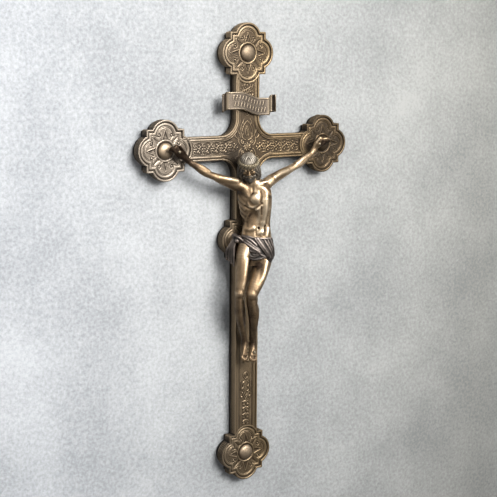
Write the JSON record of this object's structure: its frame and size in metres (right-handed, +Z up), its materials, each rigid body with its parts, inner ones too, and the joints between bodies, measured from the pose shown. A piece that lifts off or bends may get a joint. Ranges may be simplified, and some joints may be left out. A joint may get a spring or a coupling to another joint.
{
  "type": "crucifix wall plaque",
  "caption": "Ornamental cast wall crucifix: moulded cross with quatrefoil medallions, a draped figure and a waved title plate.",
  "frame": {"origin": "middle of the crossing of the shaft and the arms, on the flat back that lies against the wall", "axes": "+Z up along the shaft, +Y out of the back into the wall, +X to the viewer's right along the arms; the front faces -Y"},
  "size_m": [0.2188, 0.0417, 0.4191],
  "materials": {
    "cross_bronze": "antiqued brown bronze, rubbed bright on the raised lines",
    "figure_bronze": "polished pale bronze over a brown patina, dark grey in the cloth and the hair",
    "plate_bronze": "antiqued brown bronze"
  },
  "bodies": {
    "root": {"cross": "cross_bronze", "corpus": "figure_bronze", "scroll": "plate_bronze"}
  },
  "joints": []
}
